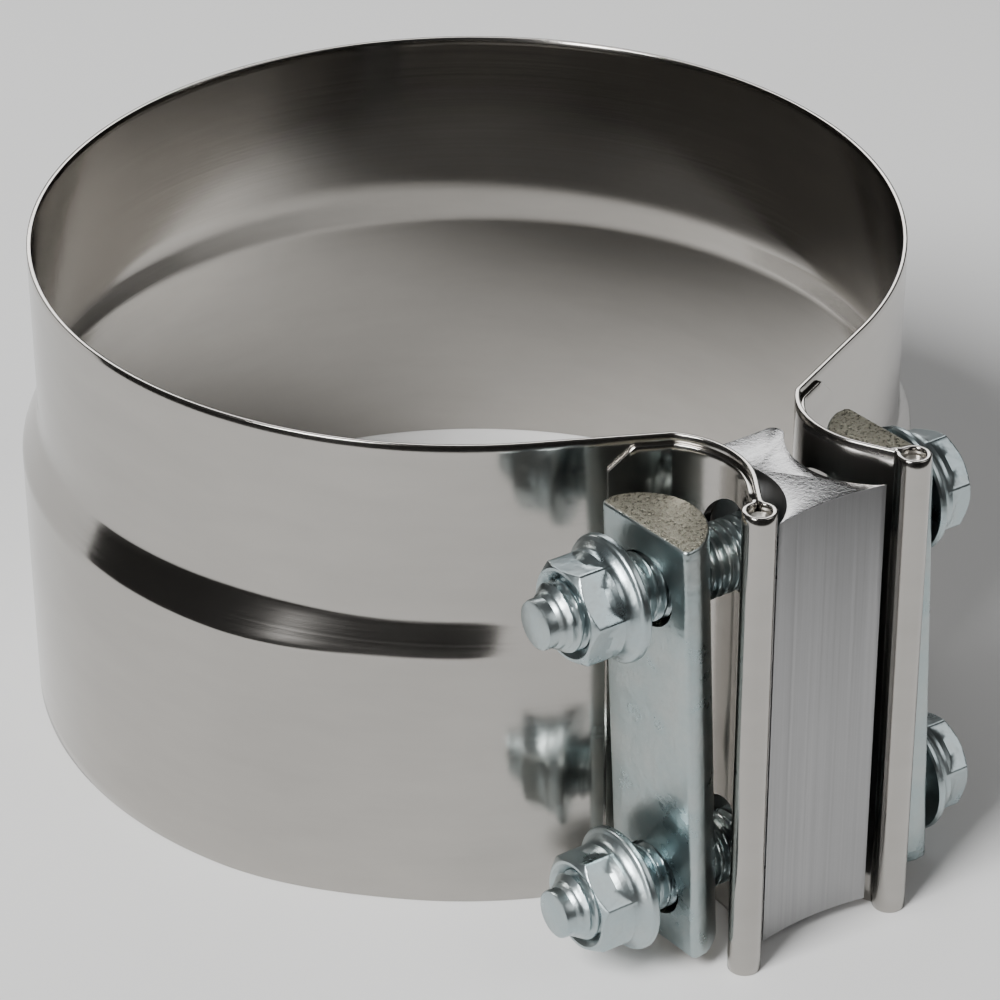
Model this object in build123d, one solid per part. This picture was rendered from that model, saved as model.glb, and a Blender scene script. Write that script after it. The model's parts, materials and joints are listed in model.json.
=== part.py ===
from build123d import *
import math
import os

# Wide lap-joint band clamp for a slip joint between two pipes, in millimetres.
# The origin is on the ring's axis, in the plane of its lower rim. +Z runs up the axis.
# The closure is at -Y and its bolts lie along X, with their heads at +X and their nuts at -X.

# Band: one stainless strip, stepped from the small upper seat to the large lower seat.
SMALL_SEAT_R = 63.9
SEAT_STEP = 2.8
BAND_T = 0.7
BAND_H = 74.8
SMALL_SEAT_L = 24.4
STEP_L = 10.4

# Closure flange: from the ring to a pocket that bulges inwards, then a straight neck and a rolled bead.
ROOT_X = 10.9
ROOT_BEND_R = 2.2
POCKET_R = 13.0
POCKET_X = 6.75
NECK_ANGLE = 30.0
NECK_L = 8.0
BEAD_R = 2.35
HEM_INSET = 1.2
HEM_L = 8.5
HEM_CORNER = 3.5
ROD_PLAY = 0.05
ROD_INSET = 1.0

# Bolts and the line that they lie on.
BOLT_STANDOFF = 12.8
HOLE_TO_RIM = 13.1
# How far the loose bolts, bars and block hang below the middle of the band.
HANG = 0.9
THREAD_R = 5.0
BOLT_PLAY = 0.55
BAND_HOLE_PLAY = 1.6
NUT_PLAY = 0.05
TIP_R = 3.5
TIP_L = 2.2
TIP_CONE_L = 1.0
HEX_AF = 13.0
COLLAR_R = 9.0
COLLAR_T = 1.4
COLLAR_L = 3.2
COLLAR_TOP_R = 7.4
HEAD_L = 7.0
NUT_L = 8.0
SHANK_L = 60.8
EDGE_BREAK = 0.6
# The clamp hangs loose: each nut stands off its bar, and each hexagon has its own turn.
NUT_GAP = {"upper": 4.7, "lower": 4.6}
HEAD_GAP = {"upper": 1.5, "lower": 2.4}
HEAD_TURN = {"upper": 12.0, "lower": 12.0}
NUT_TURN = {"upper": 39.6, "lower": 52.0}

# D-section pressure bars.
BAR_W = 17.4
BAR_T = 8.6
BAR_SIDE = 2.2
BAR_L = 68.0
BAR_CORNER_R = 0.9
NUT_BAR_X = 22.0
HEAD_BAR_X = 20.0
# How far the loose bars are turned about Z, and how far their lower ends lean towards the heads.
BAR_TURN = 5.0
BAR_LEAN = 2.6

# Reaction block between the flanges, waisted on both flanks.
BLOCK_OUTER_W = 18.0
BLOCK_INNER_W = 19.4
BLOCK_WAIST = 5.6
BLOCK_OUTER_Y = 23.4
BLOCK_L = 68.8
BLOCK_HOLLOW = 0.9
BLOCK_CLEARANCE = 0.7
BLOCK_CORNER_R = 1.0

# Worked out from the values above.
LARGE_SEAT_R = SMALL_SEAT_R + SEAT_STEP
SMALL_MID_R = SMALL_SEAT_R + BAND_T / 2
LARGE_MID_R = LARGE_SEAT_R + BAND_T / 2
STEP_TOP_Z = BAND_H - SMALL_SEAT_L
STEP_LOW_Z = STEP_TOP_Z - STEP_L
BOLT_Y = -(SMALL_SEAT_R + BAND_T + BOLT_STANDOFF)
HOLE_Z = {"upper": BAND_H - HOLE_TO_RIM, "lower": HOLE_TO_RIM}
MID_Z = BAND_H / 2 - HANG
BOLT_Z = {p: z - HANG for p, z in HOLE_Z.items()}
# How far a leaning bar stands from its middle at each bolt.
LEAN_AT = {p: (MID_Z - z) * math.tan(math.radians(BAR_LEAN)) for p, z in BOLT_Z.items()}
ROD_R = BEAD_R - BAND_T - ROD_PLAY
# Angles about the axis, in degrees from the closure: where the flange begins, and where the
# small seat leaves its circle on the straight line that reaches the large seat's radius there.
ROOT_ANGLE = math.degrees(math.asin(ROOT_X / LARGE_MID_R))
SWEEP = math.degrees(math.acos(SMALL_MID_R / LARGE_MID_R))
LEAVE_ANGLE = ROOT_ANGLE + SWEEP
FAR = 200.0


def around(angle, radius):
    """A point in plan, at an angle from the closure towards +X."""
    return radius * math.sin(math.radians(angle)), -radius * math.cos(math.radians(angle))


def left_of(heading):
    """The unit vector to the left of a heading, in degrees."""
    return -math.sin(math.radians(heading)), math.cos(math.radians(heading))


# The flange's middle line: a straight run, the root bend and the pocket, both turning left, and
# a straight neck. Its headings are in degrees from +X.
RUN_HEADING = 180.0 + LEAVE_ANGLE
NECK_HEADING = 270.0 + NECK_ANGLE
ROOT = around(ROOT_ANGLE, LARGE_MID_R)
BEND_C = tuple(p + ROOT_BEND_R * n for p, n in zip(ROOT, left_of(RUN_HEADING)))
POCKET_HEADING = 180.0 + math.degrees(
    math.asin((POCKET_X + POCKET_R - BEND_C[0]) / (POCKET_R - ROOT_BEND_R))
)
POCKET_C = tuple(
    c + (POCKET_R - ROOT_BEND_R) * n for c, n in zip(BEND_C, left_of(POCKET_HEADING))
)
NECK_START = tuple(c - POCKET_R * n for c, n in zip(POCKET_C, left_of(NECK_HEADING)))
NECK_WAY = (math.cos(math.radians(NECK_HEADING)), math.sin(math.radians(NECK_HEADING)))
BEAD_C = tuple(
    p + NECK_L * w + BAND_T / 2 * n
    for p, w, n in zip(NECK_START, NECK_WAY, left_of(NECK_HEADING))
)


def wall_section(angle, inner, outer, low, high):
    """The band's wall in the plane through the axis, from the inner to the outer (small, large) radii."""
    out = Vector(*around(angle, 1.0), 0)
    plane = Plane(origin=(0, 0, 0), x_dir=out, z_dir=out.cross(Vector(0, 0, 1)))

    def step(radii):
        small, large = radii
        return Bezier(
            (small, STEP_TOP_Z),
            (small + 0.15 * (large - small), STEP_TOP_Z - 0.2 * STEP_L),
            (large, STEP_LOW_Z + 0.45 * STEP_L),
            (large, STEP_LOW_Z),
        )

    edges = [
        Line((outer[0], high), (outer[0], STEP_TOP_Z)),
        step(outer),
        Line((outer[1], STEP_LOW_Z), (outer[1], low)),
        Line((outer[1], low), (inner[1], low)),
        Line((inner[1], low), (inner[1], STEP_LOW_Z)),
        step(inner),
        Line((inner[0], STEP_TOP_Z), (inner[0], high)),
        Line((inner[0], high), (outer[0], high)),
    ]
    return plane * make_face(edges)


def seat_radii(angle, offset):
    """The wall's small and large radii at an offset from its inner face, near the closure."""
    flare = math.cos(math.radians(max(LEAVE_ANGLE - angle, 0.0)))
    small = (SMALL_SEAT_R + offset) / flare
    large = small if angle <= ROOT_ANGLE else LARGE_SEAT_R + offset
    return small, large


def spaced(first, last, count):
    return [first + (last - first) * i / (count - 1) for i in range(count)]


def ring():
    """The stepped ring, up to where the small seat leaves its circle on each side."""
    section = wall_section(
        LEAVE_ANGLE, seat_radii(LEAVE_ANGLE, 0), seat_radii(LEAVE_ANGLE, BAND_T), 0, BAND_H
    )
    return revolve(section, axis=Axis.Z, revolution_arc=360.0 - 2 * LEAVE_ANGLE)


def approach():
    """The wall between the ring and a flange, where the step runs out."""
    return loft(
        [
            wall_section(angle, seat_radii(angle, 0), seat_radii(angle, BAND_T), 0, BAND_H)
            for angle in spaced(LEAVE_ANGLE, ROOT_ANGLE, 6)
        ]
    )


def hem_on_ring():
    """The end of the hem, fused into the outside of the wall, with cut corners."""
    last = ROOT_ANGLE + math.degrees(HEM_L / LARGE_MID_R)
    low, high = HEM_INSET, BAND_H - HEM_INSET
    hem = loft(
        [
            wall_section(
                angle, seat_radii(angle, BAND_T / 2), seat_radii(angle, 2 * BAND_T), low, high
            )
            for angle in spaced(last, ROOT_ANGLE, 4)
        ]
    )
    x, y = around(last, LARGE_MID_R)
    cut = HEM_CORNER * math.sqrt(2)
    for z in (low, high):
        hem -= Pos(x, y, z) * Rot(0, 0, last) * Rot(0, 45, 0) * Box(cut, 4 * BEAD_R, cut)
    return hem


def flange_line(offset, run):
    """The flange's middle line moved left by an offset, with a straight run before the root."""
    way = (math.cos(math.radians(RUN_HEADING)), math.sin(math.radians(RUN_HEADING)))
    bend = CenterArc(
        BEND_C, ROOT_BEND_R - offset, RUN_HEADING - 90, POCKET_HEADING - RUN_HEADING
    )
    pocket = CenterArc(
        POCKET_C, POCKET_R - offset, POCKET_HEADING - 90, NECK_HEADING - POCKET_HEADING
    )
    start = tuple(bend @ 0)[:2]
    start = tuple(p - run * w for p, w in zip(start, way))
    end = tuple(p + NECK_L * w for p, w in zip(tuple(pocket @ 1)[:2], NECK_WAY))
    return [Line(start, bend @ 0), bend, pocket, Line(pocket @ 1, end)]


def flange_strip(first, last, low, high):
    """The flange between two offsets of its middle line and between two heights."""
    run = 2.0
    side, other = flange_line(first, run), flange_line(last, run)
    ends = [Line(side[0] @ 0, other[0] @ 0), Line(side[-1] @ 1, other[-1] @ 1)]
    face = make_face(side + other + ends)
    beyond = Polyline(
        (0, 0), around(ROOT_ANGLE, FAR), around(ROOT_ANGLE + 40, FAR), (0, 0)
    )
    face -= make_face(beyond)
    return Pos(0, 0, low) * extrude(face, high - low)


def flange():
    """One flange with its hem and the rolled bead that holds a rod."""
    outer = flange_strip(-BAND_T / 2, BAND_T / 2, 0, BAND_H)
    hem = flange_strip(0, 3 * BAND_T / 2, HEM_INSET, BAND_H - HEM_INSET)
    bead = Pos(*BEAD_C, 0) * extrude(Circle(BEAD_R), BAND_H)
    core = Pos(*BEAD_C, 0) * extrude(Circle(BEAD_R - BAND_T), BAND_H)
    return outer + hem + bead - core


def across(z, radius, first, last):
    """A round bar along X on the bolts' line."""
    return Pos(first, BOLT_Y, z) * Rot(0, 90, 0) * extrude(Circle(radius), last - first)


def band():
    side = approach() + flange() + hem_on_ring()
    for z in HOLE_Z.values():
        side -= across(z, THREAD_R + BAND_HOLE_PLAY, 0, POCKET_X + 2 * POCKET_R)
    return ring() + side + mirror(side, about=Plane.YZ)


def rod(side):
    return Pos(side * BEAD_C[0], BEAD_C[1], ROD_INSET) * extrude(
        Circle(ROD_R), BAND_H - 2 * ROD_INSET
    )


def reaction_block():
    outer, inner, waist = BLOCK_OUTER_W / 2, BLOCK_INNER_W / 2, BLOCK_WAIST / 2
    inner_r = LARGE_SEAT_R + BLOCK_CLEARANCE
    outer_y = -(SMALL_SEAT_R + BAND_T + BLOCK_OUTER_Y)
    inner_y = -math.sqrt(inner_r**2 - inner**2)
    mid_y = (outer_y + inner_y) / 2
    face = make_face(
        [
            ThreePointArc((-outer, outer_y), (0, outer_y + BLOCK_HOLLOW), (outer, outer_y)),
            ThreePointArc((outer, outer_y), (waist, mid_y), (inner, inner_y)),
            ThreePointArc((inner, inner_y), (0, -inner_r), (-inner, inner_y)),
            ThreePointArc((-inner, inner_y), (-waist, mid_y), (-outer, outer_y)),
        ]
    )
    inner_corners = face.vertices().sort_by(Axis.Y)[-2:]
    face = fillet(inner_corners, BLOCK_CORNER_R)
    block = Pos(0, 0, MID_Z - BLOCK_L / 2) * extrude(face, BLOCK_L)
    for z in BOLT_Z.values():
        block -= across(z, THREAD_R + BOLT_PLAY, -BLOCK_INNER_W, BLOCK_INNER_W)
    return block


def pressure_bar(side, flat_x):
    """A bar with its flat face away from the closure and its round face in the pocket."""
    half, flat = BAR_W / 2, BAR_T / 2
    face = make_face(
        [
            Line((flat, -half), (flat, half)),
            Line((flat, half), (flat - BAR_SIDE, half)),
            ThreePointArc((flat - BAR_SIDE, half), (-flat, 0), (flat - BAR_SIDE, -half)),
            Line((flat - BAR_SIDE, -half), (flat, -half)),
        ]
    )
    face = fillet(face.vertices().sort_by(Axis.X)[-2:], BAR_CORNER_R)
    bar = Pos(0, 0, -BAR_L / 2) * extrude(face, BAR_L)
    for z in BOLT_Z.values():
        hole = extrude(Circle(THREAD_R + BOLT_PLAY), BAR_T)
        bar -= Pos(-flat, 0, z - MID_Z) * Rot(0, 90, 0) * hole
    if side < 0:
        bar = Rot(0, 0, 180) * bar
    loose = Rot(0, -BAR_LEAN, 0) * Rot(0, 0, BAR_TURN)
    return Pos(side * (flat_x - flat), BOLT_Y, MID_Z) * loose * bar


def hex_collar_body(length, turn):
    """A hexagon with a conical collar, standing on the collar's face at Z = 0."""
    corner_r = HEX_AF / math.sqrt(3)
    hexagon = Rot(0, 0, turn) * extrude(
        RegularPolygon(HEX_AF / 2, 6, major_radius=False), length
    )
    crown = Pos(0, 0, length - EDGE_BREAK) * extrude(Circle(FAR / 10), EDGE_BREAK)
    dome = Pos(0, 0, length - EDGE_BREAK / 2) * Cone(
        corner_r + EDGE_BREAK, corner_r - EDGE_BREAK, EDGE_BREAK
    )
    hexagon -= crown - dome
    collar = Pos(0, 0, COLLAR_T / 2) * Cylinder(COLLAR_R, COLLAR_T)
    collar = fillet(collar.edges().group_by(Axis.Z)[-1], COLLAR_T / 2)
    cone_l = COLLAR_L - COLLAR_T / 2
    cone = Pos(0, 0, COLLAR_T / 2 + cone_l / 2) * Cone(
        COLLAR_R - COLLAR_T / 2, COLLAR_TOP_R, cone_l
    )
    return hexagon + collar + cone


def nut_face_x(place):
    """X of the face of a nut's collar, which faces its bar."""
    return -NUT_BAR_X + LEAN_AT[place] - NUT_GAP[place]


def head_face_x(place):
    """X of the face of a bolt head's collar, which faces its bar."""
    return HEAD_BAR_X + LEAN_AT[place] + HEAD_GAP[place]


def bolt(place):
    shank_l = SHANK_L - TIP_L - TIP_CONE_L
    body = hex_collar_body(HEAD_L, HEAD_TURN[place])
    body += Pos(0, 0, -shank_l) * extrude(Circle(THREAD_R), shank_l)
    body += Pos(0, 0, -shank_l - TIP_CONE_L / 2) * Cone(TIP_R, THREAD_R, TIP_CONE_L)
    point = Pos(0, 0, -SHANK_L) * extrude(Circle(TIP_R), TIP_L)
    body += chamfer(point.edges().group_by(Axis.Z)[0], EDGE_BREAK)
    return Pos(head_face_x(place), BOLT_Y, BOLT_Z[place]) * Rot(0, 90, 0) * body


def nut(place):
    body = hex_collar_body(NUT_L, NUT_TURN[place])
    body -= extrude(Circle(THREAD_R + NUT_PLAY), NUT_L)
    for z, turn in ((0, 0), (NUT_L, 180)):
        mouth = Pos(0, 0, EDGE_BREAK / 2) * Cone(
            THREAD_R + NUT_PLAY + EDGE_BREAK, THREAD_R + NUT_PLAY, EDGE_BREAK
        )
        body -= Pos(0, 0, z) * Rot(turn, 0, 0) * mouth
    return Pos(nut_face_x(place), BOLT_Y, BOLT_Z[place]) * Rot(0, -90, 0) * body


def parts():
    made = {
        "band": band(),
        "nut_side_rod": rod(-1),
        "head_side_rod": rod(1),
        "reaction_block": reaction_block(),
        "nut_side_bar": pressure_bar(-1, NUT_BAR_X),
        "head_side_bar": pressure_bar(1, HEAD_BAR_X),
    }
    for place in BOLT_Z:
        made[f"{place}_bolt"] = bolt(place)
        made[f"{place}_nut"] = nut(place)
    return made


os.makedirs("parts", exist_ok=True)
for name, shape in parts().items():
    export_step(shape, f"parts/{name}.step")
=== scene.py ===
import json
import math

import bmesh
import bpy
from mathutils import Matrix, Vector


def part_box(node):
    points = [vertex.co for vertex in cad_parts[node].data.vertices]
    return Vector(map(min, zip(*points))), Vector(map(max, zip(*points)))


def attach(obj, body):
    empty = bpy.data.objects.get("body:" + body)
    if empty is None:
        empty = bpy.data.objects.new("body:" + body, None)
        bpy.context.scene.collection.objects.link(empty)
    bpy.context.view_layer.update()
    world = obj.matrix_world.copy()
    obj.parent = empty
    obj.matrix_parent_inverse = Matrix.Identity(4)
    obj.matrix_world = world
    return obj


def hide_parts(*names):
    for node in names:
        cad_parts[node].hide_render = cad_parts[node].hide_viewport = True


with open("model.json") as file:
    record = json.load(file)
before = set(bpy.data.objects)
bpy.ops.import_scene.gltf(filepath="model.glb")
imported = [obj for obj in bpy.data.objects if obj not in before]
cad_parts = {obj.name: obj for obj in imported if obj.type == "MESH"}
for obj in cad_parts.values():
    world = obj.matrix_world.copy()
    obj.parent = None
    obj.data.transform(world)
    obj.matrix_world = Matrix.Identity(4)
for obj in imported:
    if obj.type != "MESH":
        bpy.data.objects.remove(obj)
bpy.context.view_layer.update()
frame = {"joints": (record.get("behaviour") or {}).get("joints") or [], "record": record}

MM = 0.001
MOUNTS = {m["name"]: m for m in frame["record"]["mounts"]}
JOINTS = {j["name"]: j for j in frame["joints"]}


def box_mm(node):
    """A CAD node's lowest and highest corners in millimetres."""
    low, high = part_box(node)
    return low / MM, high / MM


# Sizes in millimetres and angles in degrees. The main sizes are the CAD's.
SMALL_SEAT_R = MOUNTS["small_pipe_seat"]["dims"]["r_mm"]
LARGE_SEAT_R = MOUNTS["large_pipe_seat"]["dims"]["r_mm"]
STEP = LARGE_SEAT_R - SMALL_SEAT_R
BAND_H = box_mm("band")[1].z
STEP_TOP_Z = BAND_H - MOUNTS["small_pipe_seat"]["dims"]["length_mm"]
STEP_LOW_Z = MOUNTS["large_pipe_seat"]["dims"]["length_mm"]
BAND_T = 0.7
ROOT_X = 10.9
ROOT_BEND_R = 2.2
POCKET_R = 13.0
POCKET_X = 6.75
NECK_ANGLE = 30.0
NECK_L = 8.0
BEAD_R = 2.35
BEAD_NECK_R = 1.0
HEM_INSET = 1.2
HEM_L = 8.5
HEM_CORNER = 3.5
HEM_GAP = 0.02
RIM_ROUND = 0.12
HOLE_R = 6.6
BAND_HOLE_REACH = 80.0
DRILL_SIDES, DRILL_PHASE = 96, 0.37
ROD_SIDES, ROD_CHAMFER, ROD_END_SHARE = 48, 0.3, 0.8
RING_STATIONS = 180
HEM_STATIONS = 16
HEM_TAPER_STATIONS = 3.0
# The step down from the small seat: a soft start, a drop and a foot on the large seat.
SOFT_SHARE, SOFT_H = 0.32, 3.4
DROP_SHARE, DROP_START, DROP_H = 0.68, 2.6, 1.5
FOOT_START, FOOT_H = 0.4, 1.4
# Towards the closure the step gets lower and then spreads out over the wall.
FADE_START, FADE_MIDDLE, FADE_END = 66.0, 42.0, 26.0
FADE_SHARE, FADE_DIP = 0.56, 0.04
SPREAD_START, SPREAD_END = 34.0, 19.0
SPREAD_Z = 8.0

BAR_W = 17.4
BAR_T = 8.6
BAR_SIDE = 2.2
BAR_L = 68.0
BAR_CORNER_R = 0.9
BAR_TURN = 5.0
BAR_LEAN = 2.6
BAR_HOLE_R = 5.55
BAR_BEVEL = 0.45

BLOCK_OUTER_W = 18.0
BLOCK_INNER_W = 19.4
BLOCK_WAIST = 5.6
BLOCK_HOLLOW = 0.9
BLOCK_CLEARANCE = 0.7
BLOCK_CORNER_R = 1.0
BLOCK_BEVEL = 0.3
BLOCK_DRILL_L = 41.3

THREAD_R = 5.0
THREAD_PITCH = 1.5
THREAD_DEPTH = 0.78
THREAD_CREST_DROP = 0.03
THREAD_ROOT_SHARE, THREAD_FLANK_SHARE = 0.16, 0.66
THREAD_START = 6.2
THREAD_RING_GAP = 0.14
THREAD_LEAD_L = 1.6
PLAIN_SHANK_R = THREAD_R - 0.1
PLAIN_SHANK_L = 6.0
TIP_R = 3.5
TIP_L = 2.2
HEX_AF = 13.0
HEX_CORNER_R = HEX_AF / math.sqrt(3)
HEX_CORNER_BREAK = 0.09
HEX_CHAMFER = 0.75
HEX_CHAMFER_SLOPE = 1.35
COLLAR_R = 9.0
COLLAR_T = 1.4
COLLAR_L = 3.2
COLLAR_TOP_R = 7.4
COLLAR_EDGE_IN, COLLAR_EDGE_H = 0.25, 0.3
COLLAR_HOLLOW = 0.35
HEAD_L = 7.0
NUT_L = 8.0
NUT_BORE_R = THREAD_R + 0.05
SHANK_L = 60.8
HEX_TURN = {"upper_bolt": 12.0, "lower_bolt": 12.0, "upper_nut": 39.6, "lower_nut": 52.0}

LARGE_MID_R = LARGE_SEAT_R + BAND_T / 2
SMALL_MID_R = SMALL_SEAT_R + BAND_T / 2
BOLT_Y = JOINTS["upper_bolt_turn"]["pos_m"][1] / MM
BOLT_Z = {p: JOINTS[f"{p}_bolt_turn"]["pos_m"][2] / MM for p in ("upper", "lower")}
MID_Z = sum(BOLT_Z.values()) / 2
HOLE_Z = [z - MID_Z + BAND_H / 2 for z in BOLT_Z.values()]
ROOT_ANGLE = math.degrees(math.asin(ROOT_X / LARGE_MID_R))
SWEEP = math.degrees(math.acos(SMALL_MID_R / LARGE_MID_R))
LEAVE_ANGLE = ROOT_ANGLE + SWEEP
RUN_HEADING = 180.0 + LEAVE_ANGLE
NECK_HEADING = 270.0 + NECK_ANGLE


# ---------------------------------------------------------------- plan geometry


def around(angle, radius):
    """A point in plan, at an angle from the closure towards +X."""
    a = math.radians(angle)
    return Vector((radius * math.sin(a), -radius * math.cos(a)))


def heading_way(heading):
    return Vector((math.cos(math.radians(heading)), math.sin(math.radians(heading))))


def left_of(heading):
    return heading_way(heading + 90)


def smooth(x):
    x = min(max(x, 0.0), 1.0)
    return x * x * (3 - 2 * x)


def step_slope(z):
    """How steep the step is at a height: a soft start below the small seat, then a sharp foot."""
    start = SOFT_SHARE * smooth((STEP_TOP_Z - z) / SOFT_H)
    drop = DROP_SHARE * smooth((STEP_TOP_Z - DROP_START - z) / DROP_H)
    return (start + drop) * smooth((z - STEP_LOW_Z - FOOT_START) / FOOT_H)


def running_sum(low, high, count, rate):
    """Heights and the share of the whole fall reached at each, from the top down."""
    step = (high - low) / count
    heights, shares, total = [high], [0.0], 0.0
    for i in range(count):
        total += rate(high - step * (i + 0.5))
        heights.append(high - step * (i + 1))
        shares.append(total)
    return heights, [share / total for share in shares]


STEP_TABLE = running_sum(STEP_LOW_Z, STEP_TOP_Z, 200, step_slope)


def step_share(z):
    """How far the wall has gone from the small seat's radius to the large seat's at a height."""
    if z >= STEP_TOP_Z:
        return 0.0
    if z <= STEP_LOW_Z:
        return 1.0
    heights, shares = STEP_TABLE
    at = (STEP_TOP_Z - z) / (STEP_TOP_Z - STEP_LOW_Z) * (len(heights) - 1)
    i = min(int(at), len(heights) - 2)
    return shares[i] + (shares[i + 1] - shares[i]) * (at - i)


def step_height(angle):
    """The step's share of its full height at an angle from the closure."""
    if angle >= FADE_MIDDLE:
        rise = smooth((angle - FADE_MIDDLE) / (FADE_START - FADE_MIDDLE))
        return FADE_SHARE + (1 - FADE_SHARE) * rise
    if angle >= FADE_END:
        return FADE_SHARE - FADE_DIP * (FADE_MIDDLE - angle) / (FADE_MIDDLE - FADE_END)
    return (FADE_SHARE - FADE_DIP) * smooth((angle - ROOT_ANGLE) / (FADE_END - ROOT_ANGLE))


def wall_radius(angle, z, offset):
    """The wall's radius at an offset outwards from its inner face."""
    flare = math.cos(math.radians(max(LEAVE_ANGLE - angle, 0.0)))
    spread = smooth((SPREAD_START - angle) / (SPREAD_START - SPREAD_END))
    gentle = smooth((STEP_TOP_Z - z) / (STEP_TOP_Z - SPREAD_Z))
    share = step_share(z) + (gentle - step_share(z)) * spread
    return (SMALL_SEAT_R + offset) / flare + STEP * step_height(angle) * share


class Path:
    """A strip's middle line in plan: straight runs and tangent arcs from a point and a heading."""

    def __init__(self, start, heading):
        self.at = Vector(start)
        self.heading = heading
        self.stations = [(self.at.copy(), heading)]

    def run(self, length):
        count = max(1, round(length))
        for _ in range(count):
            self.at = self.at + heading_way(self.heading) * (length / count)
            self.stations.append((self.at.copy(), self.heading))

    def bend(self, radius, turn, spacing=0.35):
        """Turns left by a positive angle, right by a negative one."""
        side = math.copysign(1.0, turn)
        centre = self.at + left_of(self.heading) * radius * side
        count = max(3, round(abs(math.radians(turn)) * radius / spacing), round(abs(turn) / 9))
        first = self.heading
        for i in range(1, count + 1):
            self.heading = first + turn * i / count
            self.at = centre - left_of(self.heading) * radius * side
            self.stations.append((self.at.copy(), self.heading))


def flange_path():
    """From the root to the bead, round the rod and back along the flange as the hem."""
    root = around(ROOT_ANGLE, LARGE_MID_R)
    bend_c = root + left_of(RUN_HEADING) * ROOT_BEND_R
    reach = (POCKET_X + POCKET_R - bend_c.x) / (POCKET_R - ROOT_BEND_R)
    pocket_heading = 180.0 + math.degrees(math.asin(reach))
    lip = BAND_T / 2 + HEM_GAP / 2
    mid_r = BEAD_R - BAND_T / 2
    short = math.sqrt((mid_r + BEAD_NECK_R) ** 2 - (lip + BEAD_NECK_R) ** 2)
    swing = math.degrees(math.atan2(short, lip + BEAD_NECK_R))
    path = Path(root, RUN_HEADING)
    path.bend(ROOT_BEND_R, pocket_heading - RUN_HEADING)
    path.bend(POCKET_R, NECK_HEADING - pocket_heading, 0.6)
    path.run(NECK_L - short)
    path.bend(BEAD_NECK_R, -swing, 0.15)
    path.bend(mid_r, 180 + 2 * swing, 0.25)
    path.bend(BEAD_NECK_R, -swing, 0.15)
    turn_back = len(path.stations) - 1
    path.run(NECK_L - short)
    shift = BAND_T + HEM_GAP
    path.bend(POCKET_R - shift, pocket_heading - NECK_HEADING, 0.6)
    path.bend(abs(ROOT_BEND_R - shift), RUN_HEADING - pocket_heading)
    return path.stations, turn_back


# ---------------------------------------------------------------- mesh helpers


def new_object(name, verts, faces, uvs=None, sharp=35.0):
    mesh = bpy.data.meshes.new(name)
    mesh.from_pydata([tuple(c * MM for c in v) for v in verts], [], faces)
    if uvs is not None:
        layer = mesh.uv_layers.new(name="strip")
        for loop in mesh.loops:
            layer.data[loop.index].uv = uvs[loop.vertex_index]
    mesh.validate()
    obj = bpy.data.objects.new(name, mesh)
    bpy.context.scene.collection.objects.link(obj)
    tidy_normals(obj, sharp)
    return obj


def tidy_normals(obj, sharp):
    work = bmesh.new()
    work.from_mesh(obj.data)
    bmesh.ops.recalc_face_normals(work, faces=work.faces)
    work.to_mesh(obj.data)
    work.free()
    obj.data.shade_smooth()
    obj.data.set_sharp_from_angle(angle=math.radians(sharp))


def bake_modifiers(obj):
    depsgraph = bpy.context.evaluated_depsgraph_get()
    mesh = bpy.data.meshes.new_from_object(obj.evaluated_get(depsgraph))
    obj.modifiers.clear()
    obj.data = mesh


def drill(obj, holes):
    """Cuts round holes. Each is (point on its axis, direction, radius, length)."""
    verts, faces = [], []
    for at, way, radius, length in holes:
        turn = Vector((0, 0, 1)).rotation_difference(Vector(way)).to_matrix()
        base, sides = len(verts), DRILL_SIDES
        for end in (-0.5, 0.5):
            for i in range(sides):
                a = 2 * math.pi * (i + DRILL_PHASE) / sides
                p = Vector((radius * math.cos(a), radius * math.sin(a), end * length))
                verts.append(Vector(at) + turn @ p)
        for i in range(sides):
            j = (i + 1) % sides
            faces.append((base + i, base + j, base + sides + j, base + sides + i))
        faces.append(tuple(base + i for i in reversed(range(sides))))
        faces.append(tuple(base + sides + i for i in range(sides)))
    cutter = new_object(f"{obj.name}_cutter", verts, faces)
    cut = obj.modifiers.new("holes", "BOOLEAN")
    cut.object = cutter
    cut.solver = "EXACT"
    bake_modifiers(obj)
    bpy.data.objects.remove(cutter)


def bevel(obj, width, segments, angle):
    edge = obj.modifiers.new("edges", "BEVEL")
    edge.width = width * MM
    edge.segments = segments
    edge.limit_method = "ANGLE"
    edge.angle_limit = math.radians(angle)
    bake_modifiers(obj)
    tidy_normals(obj, 30.0)


def prism(name, outline, low, high):
    """A plan outline, counterclockwise, raised between two heights."""
    n = len(outline)
    verts = [(x, y, z) for z in (low, high) for x, y in outline]
    faces = [(i, (i + 1) % n, n + (i + 1) % n, n + i) for i in range(n)]
    faces.append(tuple(reversed(range(n))))
    faces.append(tuple(range(n, 2 * n)))
    return new_object(name, verts, faces)


def arc_through(a, b, c, count):
    """Points from a to c through b, without the last one."""
    a, b, c = Vector(a), Vector(b), Vector(c)
    d = 2 * (a.x * (b.y - c.y) + b.x * (c.y - a.y) + c.x * (a.y - b.y))
    aa, bb, cc = a.length_squared, b.length_squared, c.length_squared
    ux = (aa * (b.y - c.y) + bb * (c.y - a.y) + cc * (a.y - b.y)) / d
    uy = (aa * (c.x - b.x) + bb * (a.x - c.x) + cc * (b.x - a.x)) / d
    centre = Vector((ux, uy))
    radius = (a - centre).length
    first = math.atan2(*(a - centre).yx)
    last = math.atan2(*(c - centre).yx)
    way = (b - a).cross(c - b)
    if way > 0 and last < first:
        last += 2 * math.pi
    if way < 0 and last > first:
        last -= 2 * math.pi
    steps = [first + (last - first) * i / count for i in range(count)]
    return [centre + Vector((math.cos(t), math.sin(t))) * radius for t in steps]


# ---------------------------------------------------------------- band


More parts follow.
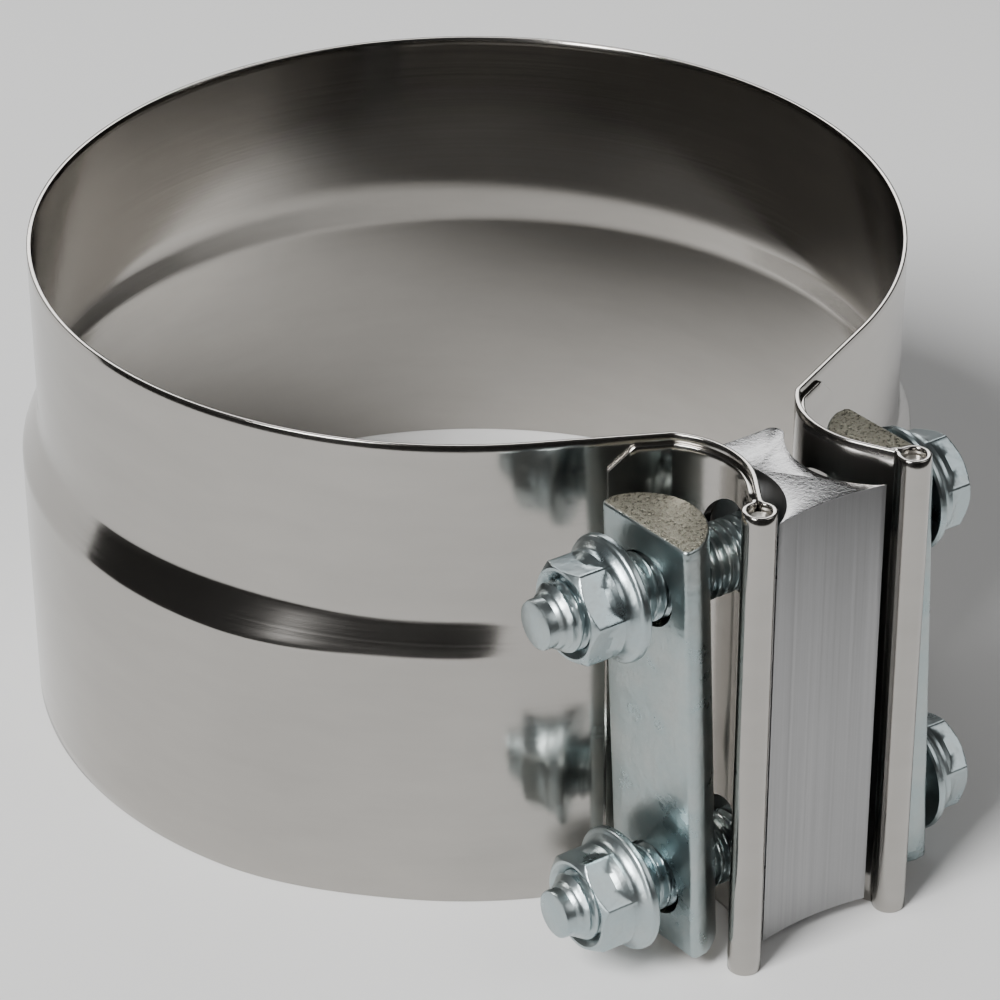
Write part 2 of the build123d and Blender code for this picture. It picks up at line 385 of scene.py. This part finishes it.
def rim_levels():
    """(height, how far each face is drawn in) up the wall, close together at the step and rims."""
    edge = [(0.0, RIM_ROUND), (0.03, RIM_ROUND * 0.5), (RIM_ROUND, 0.0)]
    heights = [2.0 + 5.0 * i for i in range(8)]
    heights += [STEP_LOW_Z - 2 + 0.55 * i for i in range(25)]
    heights += [STEP_TOP_Z + 1.5 + 3.6 * i for i in range(7)]
    body = sorted({round(h, 3) for h in heights if 1.0 < h < BAND_H - 1.0})
    levels = edge + [(h, 0.0) for h in body]
    return levels + [(BAND_H - h, inset) for h, inset in reversed(edge)]


def band_stations():
    """Half the strip, from the back of the ring to the hem's end.

    A station is (kind, angle, lowest z, highest z). Its kind is "ring", "hem", or the point and
    the left-hand direction of a place on the flange, which has no angle.
    """
    stations = []
    for i in range(RING_STATIONS):
        angle = 180.0 + (ROOT_ANGLE - 180.0) * i / RING_STATIONS
        stations.append(("ring", angle, 0.0, BAND_H))
    flange, turn_back = flange_path()
    for i, (at, heading) in enumerate(flange):
        past = smooth((i - turn_back) / HEM_TAPER_STATIONS)
        stations.append(((at, left_of(heading)), None, HEM_INSET * past, BAND_H - HEM_INSET * past))
    hem_angle = math.degrees(HEM_L / LARGE_MID_R)
    for i in range(1, HEM_STATIONS + 1):
        share = i / HEM_STATIONS
        left = HEM_L * (1 - share)
        cut = max(HEM_CORNER - left, 0.0)
        angle = ROOT_ANGLE + hem_angle * share
        stations.append(("hem", angle, HEM_INSET + cut, BAND_H - HEM_INSET - cut))
    return stations


def station_point(station, offset, z):
    """The point of a station at an offset to the left of the strip's middle line."""
    kind, angle = station[0], station[1]
    if kind == "ring":
        x, y = around(angle, wall_radius(angle, z, BAND_T / 2 + offset))
    elif kind == "hem":
        middle = 1.5 * BAND_T + HEM_GAP
        x, y = around(angle, wall_radius(angle, z, middle - offset))
    else:
        at, left = kind
        x, y = at + left * offset
    return Vector((x, y, z))


def build_band():
    """The whole strip as one closed mesh, with its length and height as UVs."""
    stations, levels = band_stations(), rim_levels()
    verts, uvs, faces = [], [], []
    rows, length, last = len(levels), 0.0, None
    for station in stations:
        middle = station_point(station, 0.0, 1.0)
        length += 0.0 if last is None else (middle - last).length
        last = middle
        low, high = station[2], station[3]
        for side in (1, -1):
            for z, inset in levels:
                at = low + (high - low) * z / BAND_H
                verts.append(station_point(station, side * (BAND_T / 2 - inset), at))
                uvs.append((length * MM, at * MM))
    per = 2 * rows
    for s in range(len(stations) - 1):
        a, b = s * per, (s + 1) * per
        for r in range(rows - 1):
            faces.append((a + r, a + r + 1, b + r + 1, b + r))
            faces.append((a + rows + r, b + rows + r, b + rows + r + 1, a + rows + r + 1))
        faces.append((a, b, b + rows, a + rows))
        faces.append((a + rows - 1, a + per - 1, b + per - 1, b + rows - 1))
    end = (len(stations) - 1) * per
    for r in range(rows - 1):
        faces.append((end + r, end + r + 1, end + rows + r + 1, end + rows + r))
    # the other half, mirrored about the plane through the closure
    count = len(verts)
    verts += [Vector((-v.x, v.y, v.z)) for v in verts]
    uvs += [(-u, v) for u, v in uvs]
    faces += [tuple(count + i for i in reversed(f)) for f in faces]
    band = new_object("band_strip", verts, faces, uvs)
    work = bmesh.new()
    work.from_mesh(band.data)
    seam = [v for v in work.verts if abs(v.co.x) < 1e-6]
    bmesh.ops.remove_doubles(work, verts=seam, dist=1e-6)
    work.to_mesh(band.data)
    work.free()
    holes = [((0, BOLT_Y, z), (1, 0, 0), HOLE_R, BAND_HOLE_REACH) for z in HOLE_Z]
    drill(band, holes)
    tidy_normals(band, 38.0)
    return band


def build_rod(name, node):
    """The wire in a bead: a cropped rod with a small chamfer at each end."""
    low, high = box_mm(node)
    centre, radius = (low + high) / 2, (high.x - low.x) / 2
    end_r = radius * ROD_END_SHARE
    rings = [(low.z, 0.0), (low.z, end_r), (low.z + ROD_CHAMFER, radius)]
    rings += [(high.z - ROD_CHAMFER, radius), (high.z, end_r), (high.z, 0.0)]
    place = Matrix.Translation(centre.xy.to_3d())
    return lathe(name, [(z, plain(r)) for z, r in rings], place, evenly(ROD_SIDES))


# ---------------------------------------------------------------- bars and block


def bar_outline():
    """The D section, with its flat side towards +X."""
    half, flat = BAR_W / 2, BAR_T / 2
    points = [Vector((flat, -half + BAR_CORNER_R)), Vector((flat, half - BAR_CORNER_R))]
    points += [
        Vector((flat - BAR_CORNER_R, half - BAR_CORNER_R)) + heading_way(a) * BAR_CORNER_R
        for a in (15, 30, 45, 60, 75, 90)
    ]
    points += arc_through((flat - BAR_SIDE, half), (-flat, 0), (flat - BAR_SIDE, -half), 48)
    points += [Vector((flat - BAR_SIDE, -half))]
    points += [
        Vector((flat - BAR_CORNER_R, -half + BAR_CORNER_R)) + heading_way(a) * BAR_CORNER_R
        for a in (-90, -75, -60, -45, -30, -15)
    ]
    return points


def build_bar(name, node, side):
    """A bar that hangs loose, turned and leaning, in the middle of its CAD box."""
    low, high = box_mm(node)
    bar = prism(name, bar_outline(), -BAR_L / 2, BAR_L / 2)
    bevel(bar, BAR_BEVEL, 4, 35.0)
    drill(bar, [((0, 0, z - MID_Z), (1, 0, 0), BAR_HOLE_R, 2 * BAR_T) for z in BOLT_Z.values()])
    tidy_normals(bar, 30.0)
    turned = Matrix.Rotation(math.radians(180.0 if side < 0 else 0.0), 4, "Z")
    lean = Matrix.Rotation(math.radians(-BAR_LEAN), 4, "Y")
    loose = lean @ Matrix.Rotation(math.radians(BAR_TURN), 4, "Z")
    middle = (low + high) / 2 * MM
    bar.data.transform(loose @ turned)
    box = [Vector(c) for c in bar.bound_box]
    centre = sum(box, Vector()) / 8
    bar.data.transform(Matrix.Translation(middle - centre))
    return bar


def round_corner(before, corner, after, radius):
    """Trims two curves that meet at a corner and joins them with an arc of about the radius."""
    a, b = (before[-4] - corner).normalized(), (after[3] - corner).normalized()
    half = a.angle(b) / 2
    reach = radius / math.tan(half)
    before = [p for p in before if (p - corner).length > reach]
    after = [p for p in after if (p - corner).length > reach]
    first, last = before[-1], after[0]
    middle = corner + (a + b).normalized() * (radius / math.sin(half) - radius)
    return before, arc_through(first, middle, last, 10)[1:], after


def mirrored(points):
    """The points mirrored about the plane through the closure, in reverse order."""
    return [Vector((-p.x, p.y)) for p in reversed(points)]


def build_block(name, node):
    """The waisted block, from its two ends and two hollow flanks."""
    low, high = box_mm(node)
    outer, inner, waist = BLOCK_OUTER_W / 2, BLOCK_INNER_W / 2, BLOCK_WAIST / 2
    inner_r = LARGE_SEAT_R + BLOCK_CLEARANCE
    outer_y = low.y
    inner_y = -math.sqrt(inner_r**2 - inner**2)
    mid_y = (outer_y + inner_y) / 2
    front = arc_through((-outer, outer_y), (0, outer_y + BLOCK_HOLLOW), (outer, outer_y), 24)
    right = arc_through((outer, outer_y), (waist, mid_y), (inner, inner_y), 44)
    back = arc_through((inner, inner_y), (0, -inner_r), (-inner, inner_y), 60)
    flank_end = Vector((inner, inner_y))
    right, corner, back = round_corner(right, flank_end, back[1:], BLOCK_CORNER_R)
    other_corner = mirrored(corner)
    back = [p for p in back if p.x >= other_corner[0].x]
    outline = front + right + corner + back + other_corner + mirrored(right[1:])
    block = prism(name, outline, low.z, high.z)
    bevel(block, BLOCK_BEVEL, 3, 30.0)
    holes = [((0, BOLT_Y, z), (1, 0, 0), BAR_HOLE_R, BLOCK_DRILL_L) for z in BOLT_Z.values()]
    drill(block, holes)
    tidy_normals(block, 28.0)
    return block


# ---------------------------------------------------------------- fasteners


def hex_angles():
    """Angles round a hexagon, close together at its slightly rounded corners."""
    angles = []
    for side in range(6):
        corner = 60.0 * side
        angles += [corner + d for d in (-1.6, -0.8, 0.0, 0.8, 1.6)]
        angles += [corner + 4 + 52 * i / 12 for i in range(13)]
    return sorted(a % 360 for a in angles)


def hex_radius(angle):
    """A hexagon's radius, with corners at 0, 60 and so on, slightly rounded."""
    from_flat = (angle % 60) - 30
    return min(HEX_AF / 2 / math.cos(math.radians(from_flat)), HEX_CORNER_R - HEX_CORNER_BREAK)


def evenly(count):
    return [360.0 * i / count for i in range(count)]


def lathe(name, rings, place, angles, closed=False):
    """Rings of points about Z. Each ring is (z, radius at an angle); a zero radius is a pole."""
    verts, index = [], []
    for z, radius in rings:
        if radius(0.0) == 0.0:
            index.append([len(verts)] * len(angles))
            verts.append(place @ Vector((0, 0, z)))
            continue
        row = []
        for a in angles:
            r = radius(a)
            row.append(len(verts))
            p = Vector((r * math.cos(math.radians(a)), r * math.sin(math.radians(a)), z))
            verts.append(place @ p)
        index.append(row)
    faces, n = [], len(angles)
    pairs = list(zip(index, index[1:] + index[:1])) if closed else list(zip(index, index[1:]))
    for low, high in pairs:
        for i in range(n):
            j = (i + 1) % n
            face = [low[i], low[j], high[j], high[i]]
            faces.append(tuple(dict.fromkeys(face)))
    return new_object(name, verts, [f for f in faces if len(f) > 2], sharp=32.0)


def collar_radius(z):
    """The collar's outline: a rounded rim, then a hollow cone that runs up into the hexagon."""
    rim = COLLAR_T / 2
    if z <= rim:
        return COLLAR_R - COLLAR_EDGE_IN * max(COLLAR_EDGE_H - z, 0.0) / COLLAR_EDGE_H
    if z <= COLLAR_T:
        return COLLAR_R - rim + math.sqrt(max(rim**2 - (z - rim) ** 2, 0.0))
    share = (z - COLLAR_T) / (COLLAR_L - COLLAR_T)
    top = COLLAR_R - rim
    hollow = COLLAR_HOLLOW * math.sin(math.pi * min(share, 1.0))
    return top + (COLLAR_TOP_R - top) * share - hollow


def hex_rings(length):
    """The outside of a hexagon with a collar, from the collar's face up to the hexagon's face."""
    heights = [0.0, 0.1, 0.2, 0.3]
    heights += [0.3 + 0.1 * i for i in range(1, 38)]
    heights += [4.6, 5.4, length - 1.3]
    heights += [length - HEX_CHAMFER + HEX_CHAMFER * i / 14 for i in range(15)]
    heights = sorted({round(h, 3) for h in heights if h <= length})

    def ring(z):
        cone_r = HEX_CORNER_R + (length - z - HEX_CHAMFER) * HEX_CHAMFER_SLOPE
        collar_r = collar_radius(z) if z < COLLAR_L + 1.0 else 0.0

        def radius(a):
            return max(min(hex_radius(a), cone_r), collar_r)

        return radius

    return [(z, ring(z)) for z in heights]


def plain(r):
    """The same radius at every angle."""
    return lambda a: r


def thread_radius(z, angle):
    """An external thread's radius: narrow flat crests and roots with smooth flanks."""
    turn = (z / THREAD_PITCH + angle / 360.0) % 1.0
    ramp = abs(turn - 0.5) * 2
    shape = smooth((ramp - THREAD_ROOT_SHARE) / THREAD_FLANK_SHARE)
    return THREAD_R - THREAD_CREST_DROP - THREAD_DEPTH * (1 - shape)


def along_x(x, z, side, turn):
    """Places a fastener's axis on its bolt line, with its own +Z along +X or -X."""
    place = Matrix.Translation((x, BOLT_Y, z))
    tip_over = Matrix.Rotation(math.radians(90.0 * side), 4, "Y")
    return place @ tip_over @ Matrix.Rotation(math.radians(turn), 4, "Z")


def build_bolt(name, place):
    """From the dished top of the head, down the collar and the thread to the dog point."""
    face_x = box_mm(name)[1].x - HEAD_L
    dish = [(HEAD_L - 0.35, 0.0), (HEAD_L - 0.35, 3.6), (HEAD_L - 0.05, 4.4), (HEAD_L, 5.0)]
    rings = [(z, plain(r)) for z, r in dish]
    rings += list(reversed(hex_rings(HEAD_L)))
    rings += [(0.0, plain(PLAIN_SHANK_R)), (-PLAIN_SHANK_L, plain(PLAIN_SHANK_R))]
    start, stop = -THREAD_START, -(SHANK_L - TIP_L)
    count = round((start - stop) / THREAD_RING_GAP)
    for i in range(count + 1):
        z = start + (stop - start) * i / count
        lead = smooth((z - stop) / THREAD_LEAD_L)

        def radius(a, z=z, lead=lead):
            return min(thread_radius(z, a), TIP_R + 0.45 + (THREAD_R - TIP_R - 0.4) * lead)

        rings.append((z, radius))
    point = [(stop - 0.25, TIP_R + 0.25), (stop - 0.6, TIP_R + 0.02), (-SHANK_L + 0.45, TIP_R)]
    point += [(-SHANK_L + 0.15, TIP_R - 0.12), (-SHANK_L, TIP_R - 0.45), (-SHANK_L, 0.0)]
    rings += [(z, plain(r)) for z, r in point]
    at = along_x(face_x, BOLT_Z[place], 1, HEX_TURN[name])
    return lathe(f"{name}_body", rings, at, hex_angles())


def build_nut(name, place):
    """The outside from the collar's face to the top, then the countersink and the bore."""
    face_x = box_mm(name)[1].x
    rings = [(0.0, plain(NUT_BORE_R + 0.7))] + hex_rings(NUT_L)
    sink = [(NUT_L, 6.1), (NUT_L - 0.12, 5.95), (NUT_L - 0.95, NUT_BORE_R), (0.7, NUT_BORE_R)]
    rings += [(z, plain(r)) for z, r in sink]
    at = along_x(face_x, BOLT_Z[place], -1, HEX_TURN[name])
    return lathe(f"{name}_body", rings, at, hex_angles(), closed=True)


# ---------------------------------------------------------------- materials

STRIP_CLEAN, STRIP_SMEARED = (0.415, 0.398, 0.375), (0.385, 0.370, 0.348)
FASTENER_COLD, FASTENER_WARM = (0.37, 0.455, 0.48), (0.44, 0.485, 0.485)
BAR_COLD, BAR_WARM = (0.33, 0.405, 0.415), (0.44, 0.475, 0.465)
ZINC_GRAIN = (0.33, 0.35, 0.35)
END_DARK, END_LIGHT = (0.20, 0.19, 0.145), (0.46, 0.44, 0.36)
BLOCK_DULL, BLOCK_BRIGHT = (0.315, 0.315, 0.318), (0.355, 0.355, 0.358)
BLOCK_LINES = (0.26, 0.26, 0.262)
ROD_DARK, ROD_LIGHT = (0.60, 0.58, 0.54), (0.76, 0.75, 0.72)
FLOOR_DARK, FLOOR_LIGHT = (0.74, 0.74, 0.735), (0.76, 0.76, 0.755)


class Look:
    """A material's nodes, fed with plain numbers or other nodes' outputs."""

    def __init__(self, name):
        self.material = bpy.data.materials.new(name)
        self.material.use_nodes = True
        self.tree = self.material.node_tree
        self.bsdf = self.tree.nodes["Principled BSDF"]

    def node(self, kind, inputs=None, **settings):
        node = self.tree.nodes.new(kind)
        for key, value in settings.items():
            setattr(node, key, value)
        self.set(node, inputs or {})
        return node

    def set(self, node, inputs):
        for key, value in inputs.items():
            if isinstance(value, bpy.types.NodeSocket):
                self.tree.links.new(value, node.inputs[key])
            else:
                node.inputs[key].default_value = value

    def where(self, scale, uv=False):
        if uv:
            out = self.node("ShaderNodeUVMap", uv_map="strip").outputs["UV"]
        else:
            out = self.node("ShaderNodeTexCoord").outputs["Object"]
        return self.node("ShaderNodeMapping", {"Vector": out, "Scale": scale}).outputs["Vector"]

    def noise(self, vector, detail=4.0, rough=0.55):
        inputs = {"Vector": vector, "Scale": 1.0, "Detail": detail, "Roughness": rough}
        return self.node("ShaderNodeTexNoise", inputs).outputs["Fac"]

    def ramp(self, fac, stops):
        """Stops are (position, grey or colour)."""
        node = self.node("ShaderNodeValToRGB", {"Fac": fac})
        items = node.color_ramp.elements
        while len(items) < len(stops):
            items.new(0.5)
        for item, (at, value) in zip(items, stops):
            item.position = at
            item.color = (value, value, value, 1) if isinstance(value, float) else (*value, 1)
        return node.outputs["Color"]

    def blend(self, fac, a, b, kind="MIX"):
        """Mixes two colours. The colour mixer's own sockets are 0, 6 and 7, and its result is 2."""
        node = self.node("ShaderNodeMix", data_type="RGBA", blend_type=kind)
        for key, value in ((0, fac), (6, a), (7, b)):
            if isinstance(value, bpy.types.NodeSocket):
                self.tree.links.new(value, node.inputs[key])
            else:
                node.inputs[key].default_value = (*value, 1) if isinstance(value, tuple) else value
        return node.outputs[2]

    def bump(self, height, strength, distance, normal=None):
        inputs = {"Height": height, "Strength": strength, "Distance": distance}
        if normal is not None:
            inputs["Normal"] = normal
        return self.node("ShaderNodeBump", inputs).outputs["Normal"]

    def metal(self, tone, rough, normal):
        """Finishes the look as bare metal and gives the material."""
        self.set(self.bsdf, {"Base Color": tone, "Metallic": 1.0, "Roughness": rough})
        self.set(self.bsdf, {"Normal": normal})
        return self.material

    def upward(self, low, high):
        """0 on upright faces and 1 on faces that look up or down."""
        normal = self.node("ShaderNodeNewGeometry").outputs["Normal"]
        z = self.node("ShaderNodeSeparateXYZ", {"Vector": normal}).outputs["Z"]
        flat = self.node("ShaderNodeMath", {0: z}, operation="ABSOLUTE").outputs["Value"]
        return self.ramp(flat, [(low, 0.0), (high, 1.0)])


def strip_look():
    """Bright annealed stainless strip: a near mirror, a little wavy, with rolling marks."""
    look = Look("stainless_strip")
    rolled = look.noise(look.where((14.0, 2600.0, 1.0), uv=True), detail=3.0)
    cloud = look.noise(look.where((24.0, 24.0, 24.0)), detail=3.0)
    smear = look.noise(look.where((60.0, 220.0, 1.0), uv=True), detail=5.0, rough=0.6)
    wave = look.noise(look.where((16.0, 16.0, 7.0)), detail=1.0)
    smeared = look.ramp(smear, [(0.35, 0.0), (0.75, 1.0)])
    tone = look.blend(smeared, STRIP_CLEAN, STRIP_SMEARED)
    rough = look.ramp(cloud, [(0.3, 0.085), (0.7, 0.13)])
    streak = look.ramp(rolled, [(0.25, 0.0), (0.75, 0.06)])
    total = look.blend(1.0, rough, streak, "ADD")
    normal = look.bump(wave, 0.25, 0.002)
    normal = look.bump(rolled, 0.03, 0.00005, normal)
    return look.metal(tone, total, normal)


def zinc_look(name, cold, warm, grain=1.0, ends=False):
    """Blue bright zinc plate. Sheared ends are rougher, darker and golden."""
    look = Look(name)
    patch = look.noise(look.where((140.0, 140.0, 140.0)), detail=5.0, rough=0.6)
    fine = look.noise(look.where((1500.0, 1500.0, 1500.0)), detail=3.0, rough=0.65)
    pits = look.noise(look.where((520.0, 520.0, 520.0)), detail=2.0)
    tone = look.blend(look.ramp(patch, [(0.35, 0.0), (0.7, 1.0)]), cold, warm)
    tone = look.blend(look.ramp(fine, [(0.3, 0.0), (0.7, 0.25)]), tone, ZINC_GRAIN)
    rough = look.ramp(patch, [(0.3, 0.25), (0.7, 0.36)])
    normal = look.bump(pits, 0.16 * grain, 0.0003)
    normal = look.bump(fine, 0.22 * grain, 0.0001, normal)
    if ends:
        torn = look.noise(look.where((1900.0, 1900.0, 1900.0)), detail=4.0, rough=0.7)
        up = look.upward(0.75, 0.95)
        tone = look.blend(up, tone, look.ramp(torn, [(0.36, END_DARK), (0.68, END_LIGHT)]))
        rough = look.blend(up, rough, look.ramp(torn, [(0.35, 0.22), (0.65, 0.42)]))
        raised = look.node("ShaderNodeMath", {0: torn, 1: up}, operation="MULTIPLY")
        normal = look.bump(raised.outputs["Value"], 0.75, 0.0006, normal)
    return look.metal(tone, rough, normal)


def block_look():
    """Satin drawn section with lines along its length and smoother sawn ends."""
    look = Look("steel_block")
    drawn = look.noise(look.where((1900.0, 1900.0, 9.0)), detail=4.0, rough=0.6)
    cloud = look.noise(look.where((60.0, 60.0, 20.0)), detail=3.0)
    sawn = look.noise(look.where((160.0, 2400.0, 10.0)), detail=3.0)
    up = look.upward(0.75, 0.95)
    tone = look.blend(look.ramp(cloud, [(0.3, 0.0), (0.7, 1.0)]), BLOCK_DULL, BLOCK_BRIGHT)
    tone = look.blend(look.ramp(drawn, [(0.3, 0.0), (0.7, 0.35)]), tone, BLOCK_LINES)
    side = look.ramp(drawn, [(0.3, 0.30), (0.7, 0.44)])
    rough = look.blend(up, side, look.ramp(sawn, [(0.3, 0.12), (0.7, 0.24)]))
    normal = look.bump(drawn, 0.35, 0.0001)
    return look.metal(tone, rough, normal)


def rod_look():
    """Dull drawn wire."""
    look = Look("steel_rod")
    grain = look.noise(look.where((800.0, 800.0, 800.0)), detail=4.0)
    tone = look.ramp(grain, [(0.3, ROD_DARK), (0.7, ROD_LIGHT)])
    rough = look.ramp(grain, [(0.3, 0.38), (0.7, 0.55)])
    normal = look.bump(grain, 0.4, 0.0002)
    return look.metal(tone, rough, normal)


def floor_look():
    """Plain pale floor."""
    look = Look("floor")
    grain = look.noise(look.where((6.0, 6.0, 6.0)), detail=2.0)
    tone = look.ramp(grain, [(0.2, FLOOR_DARK), (0.8, FLOOR_LIGHT)])
    look.set(look.bsdf, {"Base Color": tone, "Roughness": 0.9, "Specular IOR Level": 0.1})
    return look.material


# ---------------------------------------------------------------- pieces

FASTENER = zinc_look("zinc_fastener", FASTENER_COLD, FASTENER_WARM)
BAR = zinc_look("zinc_bar", BAR_COLD, BAR_WARM, grain=1.6, ends=True)
BLOCK = block_look()
ROD = rod_look()
STRIP = strip_look()


def keep(piece, look, body, node):
    """Gives a piece its look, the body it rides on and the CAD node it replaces."""
    piece.data.materials.clear()
    piece.data.materials.append(look)
    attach(piece, body)
    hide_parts(node)


keep(build_band(), STRIP, "band", "band")
for side in ("nut", "head"):
    rod = build_rod(f"{side}_side_rod_wire", f"{side}_side_rod")
    keep(rod, ROD, "band", f"{side}_side_rod")
    bar = build_bar(f"{side}_side_bar_body", f"{side}_side_bar", -1 if side == "nut" else 1)
    keep(bar, BAR, f"{side}_side_bar", f"{side}_side_bar")
block = build_block("reaction_block_body", "reaction_block")
keep(block, BLOCK, "reaction_block", "reaction_block")
for place in BOLT_Z:
    bolt, nut = f"{place}_bolt", f"{place}_nut"
    keep(build_bolt(bolt, place), FASTENER, bolt, bolt)
    keep(build_nut(nut, place), FASTENER, nut, nut)


# ---------------------------------------------------------------- stage, light and camera

FLOOR_HALF = 12000.0
FLAG_R, FLAG_HEIGHT, FLAG_PANELS = 260.0, 112.0, 24
FLAG_START, FLAG_SWEEP = -125, 190
# The world's grey from the horizon, 0, to straight up, 1.
WORLD_STOPS = [(0.0, 0.02), (0.1, 0.03), (0.3, 0.05), (0.6, 0.06), (1.0, 0.06)]
# Name, azimuth from the closure towards +X, elevation, distance, aim height, size, power.
LIGHTS = [
    ("key", -77, 44, 2.8, 0.03, (1.1, 1.1), 128),
    ("fill", 35, 42, 2.2, 0.03, (1.2, 1.2), 9),
    ("back", 150, 33, 2.0, 0.06, (1.2, 0.5), 9),
    ("low_left", -66, 12, 1.6, 0.03, (0.34, 0.16), 9),
]
CAMERA_AZIMUTH, CAMERA_ELEVATION, CAMERA_ROLL = -33.515, 31.592, -0.283
CAMERA_TARGET = (-0.00211, -0.01159, 0.03336)
CAMERA_DISTANCE = 0.59297
CAMERA_LENS = 141.99


def add_floor():
    far = FLOOR_HALF
    corners = [(-far, -far, 0), (far, -far, 0), (far, far, 0), (-far, far, 0)]
    floor = new_object("studio_floor", corners, [(0, 1, 2, 3)])
    floor.data.materials.append(floor_look())


def place_at(azimuth, elevation, distance):
    """A place at an azimuth from the closure towards +X, and an elevation."""
    a, e = math.radians(azimuth), math.radians(elevation)
    level = distance * math.cos(e)
    return (level * math.sin(a), -level * math.cos(a), distance * math.sin(e))


def add_light(name, at, aim, size, power):
    data = bpy.data.lights.new(name, "AREA")
    data.shape = "RECTANGLE"
    data.size, data.size_y = size
    data.energy = power
    light = bpy.data.objects.new(name, data)
    light.location = at
    light.rotation_euler = (Vector(aim) - Vector(at)).to_track_quat("-Z", "Y").to_euler()
    light.visible_camera = False
    bpy.context.scene.collection.objects.link(light)


def add_world():
    world = bpy.data.worlds.new("studio")
    world.use_nodes = True
    bpy.context.scene.world = world
    tree = world.node_tree
    back = tree.nodes["Background"]
    where = tree.nodes.new("ShaderNodeTexCoord")
    split = tree.nodes.new("ShaderNodeSeparateXYZ")
    ramp = tree.nodes.new("ShaderNodeValToRGB")
    tree.links.new(where.outputs["Generated"], split.inputs["Vector"])
    tree.links.new(split.outputs["Z"], ramp.inputs["Fac"])
    items = ramp.color_ramp.elements
    while len(items) < len(WORLD_STOPS):
        items.new(0.5)
    for item, (at, grey) in zip(items, WORLD_STOPS):
        item.position = at
        item.color = (grey, grey, grey, 1)
    tree.links.new(ramp.outputs["Color"], back.inputs["Color"])
    back.inputs["Strength"].default_value = 1.0


def add_camera():
    roll = math.radians(CAMERA_ROLL)
    back = Vector(place_at(CAMERA_AZIMUTH, CAMERA_ELEVATION, 1.0))
    level = Vector((0, 0, 1)).cross(back).normalized()
    upright = back.cross(level)
    right = level * math.cos(roll) + upright * math.sin(roll)
    up = back.cross(right)
    data = bpy.data.cameras.new("camera")
    data.lens = CAMERA_LENS
    data.clip_start = 0.05
    camera = bpy.data.objects.new("camera", data)
    turn = Matrix((right, up, back)).transposed().to_4x4()
    camera.matrix_world = Matrix.Translation(Vector(CAMERA_TARGET) + back * CAMERA_DISTANCE) @ turn
    bpy.context.scene.collection.objects.link(camera)
    bpy.context.scene.camera = camera


def add_flag():
    """A low dark card round the front, outside the view, which only reflections see."""
    verts = []
    for i in range(FLAG_PANELS + 1):
        x, y = around(FLAG_START + FLAG_SWEEP * i / FLAG_PANELS, FLAG_R)
        verts += [(x, y, 0.5), (x, y, FLAG_HEIGHT)]
    faces = [(2 * i, 2 * i + 2, 2 * i + 3, 2 * i + 1) for i in range(FLAG_PANELS)]
    flag = new_object("flag", verts, faces)
    look = Look("flag")
    look.set(look.bsdf, {"Base Color": (0.02, 0.019, 0.018, 1), "Roughness": 0.9})
    flag.data.materials.append(look.material)
    flag.visible_camera = False
    flag.visible_diffuse = False
    flag.visible_shadow = False


add_floor()
add_flag()
add_world()
for name, azimuth, elevation, distance, aim_z, size, power in LIGHTS:
    add_light(name, place_at(azimuth, elevation, distance), (0, 0, aim_z), size, power)
add_camera()
